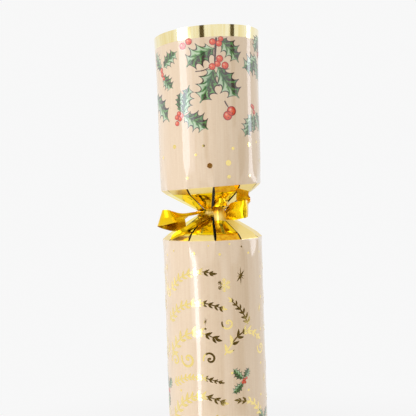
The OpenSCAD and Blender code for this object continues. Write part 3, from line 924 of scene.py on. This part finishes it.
# Foil dots: angle, height and radius
HANDLE_DOTS = [
    (-44.4, 249.8, 0.95), (-66.2, 245.5, 0.72), (-52.8, 236.1, 0.85), (-28.8, 236.1, 0.62),
    (-9.5, 249.5, 0.6), (-3.5, 241, 1.15), (-18.1, 245.8, 0.6), (22.6, 248.1, 0.75),
    (16.9, 242, 1.26), (17.4, 236.1, 0.85), (44.8, 249.9, 0.95), (60.6, 251.2, 0.6),
    (46.3, 236.4, 0.6), (72, 243, 0.8), (84, 252, 0.7), (-80, 251, 0.7),
    (-88, 239, 0.9),
]
# Foil on the barrel: a branch has its spots from root to tip and the length of its leaves, a curl
# its middle, size and way round, a snowflake or a star its middle and size, and a dot its middle
# and radius
BARREL_BRANCHES = [
    ([(-60, 187.5), (-44, 193), (-24, 196), (-6, 195.4)], 3.4),
    ([(-66, 173.5), (-44, 180.5), (-18, 182.6), (4, 180.4)], 3.6),
    ([(36, 172), (28, 178), (16, 183)], 3),
    ([(-64, 158.5), (-46, 166.5), (-24, 170), (-4, 167.5)], 4.4),
    ([(6, 160), (20, 167), (36, 169.5), (52, 166)], 4),
    ([(-60, 146), (-40, 149.6), (-20, 150.4), (0, 148.6)], 2.8),
    ([(-62, 131), (-42, 139.5), (-20, 142.6), (2, 140)], 4),
    ([(54, 131), (40, 137.5), (22, 139.5)], 3.4),
    ([(56, 113), (36, 120), (12, 122.4), (-6, 119.8)], 3.8),
    ([(-58, 99), (-40, 105.5), (-18, 107.6), (4, 105)], 3.6),
    ([(112, 186), (96, 193), (80, 195.6)], 3.4),
    ([(110, 158), (92, 166), (76, 168)], 3.8),
    ([(112, 126), (94, 134), (78, 136)], 3.8),
    ([(108, 98), (92, 104.5), (76, 106)], 3.4),
]
BARREL_SCROLLS = [
    (-66, 185.4, 5, 1), (-56, 156.5, 6.4, 1), (-36, 157.8, 7.6, -1), (-10, 158.6, 6, 1),
    (11, 173.5, 5.6, -1), (58, 160.5, 6, -1), (-50, 129.5, 5.6, 1), (2, 132, 6.6, -1),
    (26, 111.5, 5.6, 1), (-26, 98.5, 5.6, -1),
]
BARREL_FLAKES = [
    (8, 190, 6), (-84, 180, 6.5), (-82, 158, 6), (84, 181, 7), (86, 150, 7),
    (88, 118, 6.5), (-30, 118, 7.5), (-84, 112, 6.5), (48, 103, 6),
]
BARREL_STARS = [
    (27.8, 193.4, 8), (58, 178, 4.6), (-70, 197, 4.4), (-14, 174.6, 3.6), (66, 146, 4.4),
    (-8, 112.5, 4.2), (-66, 120.5, 4.4), (66, 107, 4.2),
]
BARREL_DOTS = [
    (-24.5, 203.8, 0.68), (4.1, 203.2, 0.59), (40.1, 203, 0.54), (62.3, 202.7, 0.63), (30.4, 178.6, 0.45),
    (62.9, 191.6, 0.72), (62.4, 182.6, 0.72), (59.6, 168.5, 0.59), (57.6, 153.5, 0.59), (55.4, 139.6, 0.59),
    (15.7, 207.4, 0.45), (-67.9, 202.5, 0.59), (-52.9, 204.7, 0.45), (-78, 196, 0.6), (80, 204, 0.6),
    (-14, 171.5, 0.5), (14, 152, 0.6), (-48, 143.5, 0.6), (34, 143.5, 0.55), (-4, 134, 0.5),
    (-60, 112, 0.6), (24, 119, 0.6), (52, 98, 0.6), (-24, 97.5, 0.6), (-80, 98, 0.6),
    (84, 93.5, 0.5), (2, 94, 0.5), (-50, 94, 0.5), (30, 206, 0.4), (-8, 207, 0.4),
]
BARREL_LEAVES = [
    ((27, 148.9), (15, 153.8), 4.8, 0.05), ((28.6, 149.2), (35.4, 153.2), 4.2, -0.05),
    ((26.4, 147), (13.6, 143.2), 4.8, 0.06),
    ((-79, 142), (-88, 148.6), 4.8, 0.05), ((-77, 142.2), (-68, 147.6), 4.6, -0.05),
    ((-78, 140.2), (-80, 133), 4.8, 0.06),
    ((60, 128.6), (50, 133.8), 4.8, 0.05), ((62, 128.8), (72, 132.6), 4.6, -0.05),
    ((60.6, 126.8), (54, 120.6), 4.8, 0.06),
    ((-22, 116.6), (-34, 112.4), 4.8, 0.05), ((-20, 117.2), (-9, 119.8), 4.6, -0.05),
    ((-20.6, 115.6), (-12, 110.6), 4.8, 0.06),
]
BARREL_BERRIES = [
    (28.3, 148.3, 0.75), (26.6, 147.4, 0.75), (31.4, 148.9, 0.6), (29.3, 147.2, 0.65),
    (-78, 141.4, 0.75), (-79.6, 140.6, 0.7), (-76.4, 140.6, 0.7),
    (61.2, 128, 0.75), (59.6, 127.2, 0.7), (62.8, 127.2, 0.7),
    (-21, 116.8, 0.75), (-22.6, 116, 0.7), (-19.6, 115.8, 0.7),
]
BARREL_STROKES = [
    ([(26.2, 150.6), (27.8, 148.4), (26.4, 145.6)], 0.28),
    ([(-80.6, 143), (-78.2, 141), (-78.6, 138.6)], 0.28),
]
# The lower handle carries the same print, with the foil dots towards its own neck
LOWER_SHIFT = -251.0
LOWER_DOTS = [(turn, OVERALL - height, radius) for turn, height, radius in HANDLE_DOTS]
print_holly("upper_handle", HANDLE_LEAVES, HANDLE_BERRIES, HANDLE_STROKES)
print_holly("lower_handle", HANDLE_LEAVES, HANDLE_BERRIES, HANDLE_STROKES, LOWER_SHIFT)
print_holly("barrel", BARREL_LEAVES, BARREL_BERRIES, BARREL_STROKES)
print_foil("upper_handle", HANDLE_DOTS)
print_foil("lower_handle", LOWER_DOTS)
print_foil("barrel", BARREL_DOTS, BARREL_STARS, BARREL_FLAKES, BARREL_BRANCHES, BARREL_SCROLLS)


# The ribbons
# Lobes of the knot, to the right and up, as shares of the ribbon's width
RIGHT_LOBE, LEFT_LOBE, LOW_LOBE = (0.22, -0.06), (-0.24, 0.05), (-0.20, -0.16)
UPPER_LOBE, FRONT_LOBE = (0.02, 0.15), (0.24, 0.07)
ROOT_SPAN = 0.3
# Each run starts at a lobe and goes through its rows. A row has how far right of the middle it is
# in tube radii, how far up in half necks, how far out from the tabs in tube radii, which way its
# width lies, its share of the ribbon's width, and how high it is creased
RUNS = {
    "right_tail": (RIGHT_LOBE, [
        (0.23, -0.11, 0.04, (0.1, -0.1, 1.0), 0.47, 0.08),
        (0.36, 0.04, 0.30, (0.1, -0.1, 1.0), 1.00, 0.11),
        (0.55, 0.12, 0.66, (0.1, 0.0, 1.0), 1.00, 0.08),
        (0.63, 0.16, 0.80, (0.0, -0.1, 1.0), 1.00, 0.03),
        (0.67, 0.26, 0.64, (0.0, -0.5, 0.9), 0.62, 0.00),
        (0.59, 0.48, 0.42, (0.5, -0.6, 0.6), 0.84, 0.00),
        (0.56, 0.72, 0.14, (0.6, -0.8, 0.2), 0.72, 0.00),
        (0.55, 0.87, 0.12, (0.6, -0.8, 0.1), 0.72, 0.00)]),
    "left_tail": (LEFT_LOBE, [
        (-0.33, 0.03, 0.14, (0.0, 1.0, 0.1), 0.55, 0.10),
        (-0.56, -0.03, 0.36, (0.0, 0.9, 0.2), 0.85, 0.12),
        (-0.80, -0.08, 0.54, (0.1, 0.7, 0.7), 0.95, 0.08),
        (-0.99, -0.11, 0.54, (0.3, 0.1, 0.9), 0.95, 0.02),
        (-1.04, -0.16, 0.42, (0.3, 0.0, 0.9), 0.95, 0.00),
        (-0.90, -0.28, 0.28, (0.2, 0.2, 0.9), 1.00, 0.00),
        (-0.70, -0.34, 0.12, (0.1, 0.1, 1.0), 1.00, -0.04),
        (-0.55, -0.30, 0.05, (-0.1, 0.1, 1.0), 0.70, -0.05)]),
    "low_tail": (LOW_LOBE, [
        (-0.31, -0.33, 0.08, (-0.4, -0.3, 0.8), 0.34, -0.10),
        (-0.54, -0.58, 0.14, (-0.5, -0.3, 0.8), 0.38, -0.08),
        (-0.74, -0.76, 0.14, (-0.6, -0.2, 0.8), 0.30, -0.04),
        (-0.84, -0.93, 0.10, (-0.6, -0.1, 0.8), 0.10, 0.00)]),
    "upper_curl": (UPPER_LOBE, [
        (0.06, 0.34, 0.05, (0.6, -0.3, 0.7), 0.44, 0.08),
        (0.15, 0.42, 0.07, (0.0, -0.3, 0.9), 0.46, 0.10),
        (0.23, 0.40, 0.06, (-0.1, -0.3, 0.9), 0.40, 0.08),
        (0.29, 0.34, 0.05, (-0.1, -0.2, 1.0), 0.30, 0.00)]),
    "front_curl": (FRONT_LOBE, [
        (0.12, 0.17, 0.12, (1.0, -0.1, 0.0), 0.44, 0.14),
        (0.12, 0.04, 0.26, (1.0, -0.1, 0.0), 0.66, 0.20),
        (0.12, -0.18, 0.31, (1.0, -0.1, 0.0), 0.68, 0.22),
        (0.11, -0.40, 0.16, (1.0, -0.1, 0.1), 0.50, 0.16)]),
}
# Shares of each run painted in another finish: from, to and which finish. One is a lighter foil of painted
# sheen where the ribbon catches the light, the other a dark foil of painted shade on faces turned away
PAINTED_SHEEN_SIDE, PAINTED_SHADE_SIDE = 1, 2
RUN_SIDES = {
    "right_tail": [(0.50, 0.68, PAINTED_SHEEN_SIDE)],
    "left_tail": [(0.56, 0.63, PAINTED_SHEEN_SIDE), (0.63, 1.0, PAINTED_SHADE_SIDE)],
    "low_tail": [(0.0, 0.3, PAINTED_SHADE_SIDE)],
    "upper_curl": [],
    "front_curl": [(0.1, 0.85, PAINTED_SHEEN_SIDE)],
}
LOBE_R = RIBBON_W * 0.16
TILT_SINE = NECK_HALF / math.hypot(NECK_HALF, CREASE_FLAT - WAIST_FLAT)
RUN_COLUMNS = 10
RUN_STEPS = 9
# The gathered band: the radius of its middle, half its depth and height, and how much fuller it is
# on its outside
BAND_R, BAND_DEEP, BAND_HIGH, BAND_FULL = 6.75, 0.78, 0.62, 0.32
# The knot: how far forward its middle is, half its depth and height, how many degrees a turn of
# ribbon goes round it each way, and how much narrower that gets towards the back
KNOT_OUT, KNOT_DEEP, KNOT_HIGH, KNOT_TURN, KNOT_PINCH = 8.3, 2.15, 2.05, 128, 0.25


def at_neck(spot, waist, turned):
    """A spot of a bow at its waist, turned end for end on the lower neck."""
    if turned:
        spot = Vector((-spot.x, spot.y, -spot.z))
    return (spot + Vector((0, 0, waist))) * MM


def cone_radius(height):
    return min(WAIST_R + abs(height) * (CORNER_R - WAIST_R) / NECK_HALF, CORNER_R)


def knot_lobe(lobe):
    x, z = lobe[0] * RIBBON_W, lobe[1] * RIBBON_W
    out = cone_radius(z) + (LOBE_R + BAND_CLEAR) / TILT_SINE
    return Vector((x, -math.sqrt(out * out - x * x), z))


def bow_middle(right, up, out, way, span, _):
    """Middle of one row of a run, far enough forward for its edges to clear the tabs."""
    x, z = right * TUBE_R, up * NECK_HALF
    half = Vector(way).normalized() * span * RIBBON_W / 2
    reach = []
    for e in (-1, 0, 1):
        clear = max(cone_radius(z + e * half.z), BAND_OUT) + BAND_CLEAR + 0.25
        across = x + e * half.x
        reach.append(math.sqrt(max(clear * clear - across * across, 0)) + e * half.y)
    return Vector((x, -max(reach) - out * TUBE_R, z))


def add_run(bm, run, waist, turned, seed):
    """One run of foil ribbon, swept from the knot along its row of places. It is creased down its
    middle, but the front curl is rounded."""
    lobe, rows = RUNS[run]
    fold = 2 if run == "front_curl" else 1
    middles = [knot_lobe(lobe)] + [bow_middle(*row) for row in rows]
    ways = [Vector(row[3]).normalized() for row in (rows[0], *rows)]
    spans = [ROOT_SPAN] + [row[4] for row in rows]
    creases = [0.0] + [row[5] for row in rows]
    steps = RUN_STEPS * len(rows)
    length = sum((b - a).length for a, b in zip(middles, middles[1:]))

    def place(column, row):
        t = row / steps
        share = column / RUN_COLUMNS * 2 - 1
        ahead = ahead_on(middles, t, 0.01)
        wide = curve_through(ways, t)
        wide = (wide - ahead * wide.dot(ahead)).normalized()
        crown = curve_through(creases, t) * RIBBON_W * (1 - abs(share) ** fold)
        gather = 0.22 * max(0.0, 1 - t * 3.2) * math.sin(share * 9 + seed)
        wave = 0.10 * noise.noise(Vector((seed * 3.1, t * length / 5, share * 0.9)))
        spot = curve_through(middles, t) + wide * share * curve_through(spans, t) * RIBBON_W / 2
        return at_neck(spot + ahead.cross(wide) * (crown + gather + wave), waist, turned)

    def cover(column, row):
        return column / RUN_COLUMNS * RIBBON_W * UV_MM, row / steps * length * UV_MM

    # The finish of each row: plain foil, the lighter foil of painted sheen, or the dark foil of painted
    # shade
    def side(column, row):
        return next((side for low, high, side in RUN_SIDES[run] if low <= row / steps < high), 0)

    plate(bm, RUN_COLUMNS, steps, place, cover, side, seed)


def add_band(bm, waist, turned):
    """The gathered ribbon in the groove of the neck."""
    around, ring = 96, 14

    def place(column, row):
        turn = column / around * 360
        angle = row / ring * 2 * math.pi
        fold = 0.10 * noise.noise(Vector((turn / 26, math.cos(angle) * 1.5, waist)))
        pleat = 0.07 * math.sin(3 * angle + turn / 40)
        out = BAND_R + (BAND_DEEP + fold + pleat) * math.cos(angle)
        high = (BAND_HIGH + BAND_FULL * math.cos(angle)) * math.sin(angle) * 1.05
        return at_front(turn, out, waist + (-high if turned else high))

    plate(bm, around, ring, place,
          lambda column, row: (column / around * 0.44, row / ring * 0.075), number=waist)


def add_knot_fold(bm, waist, turned, lean, offset, half, seed):
    """One turn of ribbon over the knot, from behind its top to behind its foot."""
    steps = 22

    def place(column, row):
        share = column / 4 - 1
        angle = math.radians(KNOT_TURN * (row / steps * 2 - 1))
        pleat = 0.10 * math.sin(share * 7 + seed)
        wide = half * (1 - KNOT_PINCH * (1 - math.cos(angle)))
        y = -(KNOT_OUT + (KNOT_DEEP + pleat) * math.cos(angle))
        z = KNOT_HIGH * math.sin(angle) * (1 - 0.1 * share * share)
        x = offset + share * wide + z * math.tan(math.radians(lean))
        return at_neck(Vector((x, y, z)), waist, turned)

    # The turns of the knot are in the lighter foil of painted sheen
    plate(bm, 8, steps, place, lambda column, row: (column / 8 * 0.05, row / steps * 0.12),
          PAINTED_SHEEN_SIDE, seed)


def foil_bow(neck, waist, turned):
    """The bow of one neck, and the band that it is tied in."""
    bow, band = bmesh.new(), bmesh.new()
    for seed, run in enumerate(RUNS):
        add_run(bow, run, waist, turned, seed)
    add_knot_fold(bow, waist, turned, 10, -2.1, 1.35, 2)
    add_knot_fold(bow, waist, turned, -18, -0.1, 0.95, 5)
    add_band(band, waist, turned)
    weld(band)
    bmesh.ops.recalc_face_normals(band, faces=band.faces[:])
    bow = piece(neck + "_bow", bow, "barrel", [RIBBON, PAINTED_SHEEN_RIBBON, PAINTED_SHADE_RIBBON], RIBBON_T)
    bow.modifiers["wall"].offset = 0.0
    for made in (bow, piece(neck + "_neck_band", band, "barrel", [RIBBON])):
        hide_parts(neck + "_ribbon")


foil_bow("upper", UPPER_WAIST, False)
foil_bow("lower", LOWER_WAIST, True)


# What is inside
ROLL_STEPS = 36


def paper_roll(name, node, material, turns, layer, wall, points, crinkle):
    """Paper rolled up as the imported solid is. A crown has points cut into its upper edge."""
    low, high = [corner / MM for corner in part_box(node)]
    middle = (low + high) / 2
    outer = (high.y - low.y) / 2 - wall / 2 - 0.05
    columns, rows = int(turns * ROLL_STEPS), 18
    bm = bmesh.new()

    def place(column, row):
        turn = column / ROLL_STEPS * 2 * math.pi
        share = row / rows
        notch = points * (0.5 + 0.5 * math.cos(turn * 1.5))
        rough = crinkle * noise.noise(Vector((turn * 2.3, share * 9, layer)))
        radius = outer - layer * turn / (2 * math.pi) + rough
        return Vector((middle.x + radius * math.cos(turn), middle.y + radius * math.sin(turn),
                       low.z + (high.z - low.z - notch * share ** 3) * share)) * MM

    plate(bm, columns, rows, place,
          lambda column, row: (column / ROLL_STEPS * 0.4, row / rows * 0.7))
    bmesh.ops.recalc_face_normals(bm, faces=bm.faces[:])
    made = piece(name, bm, "barrel", [material], wall)
    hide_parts(node)


WHITE_PAPER = make_paper("white_paper", srgb(236, 234, 228), srgb(250, 249, 245), 4200.0)
paper_roll("tissue_crown", "paper_crown", make_tissue(), 4.0, 1.25, 0.16, 16.0, 0.16)
paper_roll("rolled_slip", "motto_slip", WHITE_PAPER, 2.0, 0.8, 0.12, 0.0, 0.03)

GREY_BOARD = make_paper("grey_board", srgb(98, 92, 84), srgb(126, 120, 110), 3800.0)
DRESS = {
    "snap_upper_strip": GREY_BOARD,
    "snap_lower_strip": GREY_BOARD,
    "snap_sleeve": make_paper("kraft_paper", srgb(172, 132, 88), srgb(198, 160, 114), 3600.0),
    "snap_abrasive_coat": make_coat("abrasive", srgb(46, 40, 40), srgb(84, 72, 68), 0.7),
    "snap_charge_coat": make_coat("snap_charge", srgb(150, 150, 152), srgb(196, 196, 198), 0.45),
    "upper_glue_dab": make_hot_glue(),
    "lower_glue_dab": make_hot_glue(),
    "crown_band": make_mottled("band_rubber", srgb(168, 44, 38), srgb(190, 74, 60),
                               2600.0, 0.55, 0.00005, (0.3, 0.75)),
    "gift_top_body": make_turned_wood("red_lacquered_wood", srgb(150, 22, 24), srgb(196, 44, 38), True),
    "gift_top_spindle": make_turned_wood("bare_wood", srgb(190, 150, 102), srgb(226, 192, 146), False),
}
for node_name, material in DRESS.items():
    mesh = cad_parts[node_name].data
    mesh.materials.clear()
    mesh.materials.append(material)


# Floor, light and camera
PALE = 0.935
WORLD_LIGHT = 0.70
COOL = (0.84, 0.88, 1.0)


def seen_mask(tree):
    """1 for what the camera sees straight, in a mirror or through glass."""
    rays = tree.nodes.new("ShaderNodeLightPath")
    last = rays.outputs["Is Camera Ray"]
    for name in ("Is Glossy Ray", "Is Transmission Ray"):
        most = tree.nodes.new("ShaderNodeMath")
        most.operation = "MAXIMUM"
        tree.links.new(last, most.inputs[0])
        tree.links.new(rays.outputs[name], most.inputs[1])
        last = most.outputs[0]
    return last


def make_floor():
    finish = Finish("pale_floor")
    x, y, _ = finish.split(finish.spot())
    mottle = finish.grain(14.0, detail=3.0)
    shade = finish.mix(mottle.between(0.3, 0.7), (0.9, 0.9, 0.905), (0.92, 0.92, 0.92))
    finish.set(Base_Color=shade, Roughness=0.9, Specular_IOR_Level=0.2)
    glow = finish.node("ShaderNodeEmission", None, {"Color": (1.0, 1.0, 1.0), "Strength": PALE})
    share = Sum(finish, seen_mask(finish.tree)) * (0.35 + far(x, y).between(0.12, 0.5) * 0.65)
    blend = finish.node("ShaderNodeMixShader", None,
                        {0: share, 1: Sum(finish, finish.surface.outputs[0]), 2: glow})
    finish.put(finish.out.inputs["Surface"], blend)
    return finish.material


def make_world():
    world = bpy.data.worlds.new("studio")
    bpy.context.scene.world = world
    world.use_nodes = True
    tree = world.node_tree
    tree.nodes.clear()
    out = tree.nodes.new("ShaderNodeOutputWorld")
    light = tree.nodes.new("ShaderNodeBackground")
    light.inputs["Color"].default_value = (1.0, 1.0, 1.0, 1.0)
    level = tree.nodes.new("ShaderNodeMapRange")
    level.inputs["To Min"].default_value = WORLD_LIGHT
    level.inputs["To Max"].default_value = PALE
    tree.links.new(seen_mask(tree), level.inputs["Value"])
    tree.links.new(level.outputs[0], light.inputs["Strength"])
    tree.links.new(light.outputs[0], out.inputs["Surface"])


def make_stage():
    """The floor. The cracker stands on its lower handle, so the floor goes where that handle goes."""
    bm = bmesh.new()
    bmesh.ops.create_circle(bm, cap_ends=True, segments=96, radius=6.0)
    floor = mesh_object("floor", bm, make_floor())
    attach(floor, "lower_handle")
    floor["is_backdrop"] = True


def facing_in(turn, distance, height, front):
    """A place in metres round the cracker, with its front axis towards the cracker."""
    spot = at_front(turn, distance / MM, height / MM)
    turned = (Vector((0, 0, height)) - spot).to_track_quat(front, "Y").to_matrix().to_4x4()
    return Matrix.Translation(spot) @ turned


def soft_box(name, turn, distance, height, size, level):
    """A cool studio light with a rectangular face, at an angle from the front."""
    light = bpy.data.lights.new(name, "AREA")
    light.shape = "RECTANGLE"
    light.size, light.size_y = size
    light.color = COOL
    light.energy = level * math.pi * size[0] * size[1]
    made = in_scene(name, light)
    made.matrix_world = facing_in(turn, distance, height, "-Z")
    made.visible_camera = False


def dark_card(name, turn, distance, height, size, colour=(0.13, 0.10, 0.05)):
    """A dark card that shows only in what mirrors it."""
    bm = bmesh.new()
    bmesh.ops.create_grid(bm, x_segments=1, y_segments=1, size=0.5)
    finish = Finish(name)
    finish.set(Base_Color=colour, Roughness=1.0, Specular_IOR_Level=0.0)
    made = mesh_object(name, bm, finish.material)
    made.matrix_world = facing_in(turn, distance, height, "Z") @ Matrix.Diagonal((*size, 1, 1))
    made.visible_camera = made.visible_diffuse = made.visible_shadow = False
    made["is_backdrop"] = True


make_stage()
make_world()
soft_box("left_box", -56, 0.45, 0.39, (0.145, 0.35), 4.3)
soft_box("left_glow", -44, 0.45, 0.45, (0.05, 0.22), 1.6)
soft_box("left_low_glow", -41, 0.45, 0.277, (0.10, 0.126), 1.1)
soft_box("left_strip", -43, 0.30, 0.10, (0.043, 0.172), 5.2)
soft_box("left_strip_glow", -45, 0.30, 0.147, (0.11, 0.086), 1.5)
soft_box("far_left_box", -126, 1.1, 0.12, (0.9, 0.6), 0.16)
soft_box("right_strip", 100, 0.9, 0.52, (0.18, 0.75), 3.3)
soft_box("top_fill", 24, 1.0, 0.56, (0.36, 0.14), 0.28)
dark_card("camera_shade", -12, 0.9, 0.50, (0.15, 0.46))
dark_card("side_shade", 53, 0.9, 0.54, (0.14, 0.42))
dark_card("right_shade", 72, 0.9, 0.11, (0.34, 0.42))
dark_card("front_shade", -7, 0.36, 0.095, (0.27, 0.15))
dark_card("low_side_shade", 50, 0.36, 0.095, (0.19, 0.15))
dark_card("lens_shade", -4, 0.45, 0.240, (0.11, 0.026), (0.24, 0.10, 0.03))

CAMERA_TURN, CAMERA_DISTANCE, CAMERA_HEIGHT = -3.0, 315.3, 231.4
ASIDE, PITCH, ROLL = math.radians(0.3), math.radians(-1.62), math.radians(-1.84)
SENSOR = 36.0
PHOTO_SIDE, FOCAL_PIXELS = 416.0, 690.0


def make_camera():
    """The camera, at the height of the upper neck, as the photograph was taken."""
    data = bpy.data.cameras.new("camera")
    data.sensor_width = SENSOR
    data.lens = SENSOR * FOCAL_PIXELS / PHOTO_SIDE
    data.clip_start, data.clip_end = 0.01, 50.0
    way = math.radians(CAMERA_TURN) + ASIDE
    ahead = Vector((-math.sin(way), math.cos(way), 0.0)) * math.cos(PITCH)
    ahead.z = math.sin(PITCH)
    right = ahead.cross(Vector((0, 0, 1))).normalized()
    up = right.cross(ahead)
    across = right * math.cos(ROLL) + up * math.sin(ROLL)
    high = up * math.cos(ROLL) - right * math.sin(ROLL)
    axes = Matrix((across, high, -ahead)).transposed().to_4x4()
    spot = at_front(CAMERA_TURN, CAMERA_DISTANCE, CAMERA_HEIGHT)
    camera = in_scene("camera", data)
    camera.matrix_world = Matrix.Translation(spot) @ axes
    bpy.context.scene.camera = camera


make_camera()
bpy.context.scene.view_settings.view_transform = "Standard"

visual_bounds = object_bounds()
for corners in (cad_bounds, visual_bounds):
    str([[round(c, 5) for c in corner] for corner in corners]) + "\n"
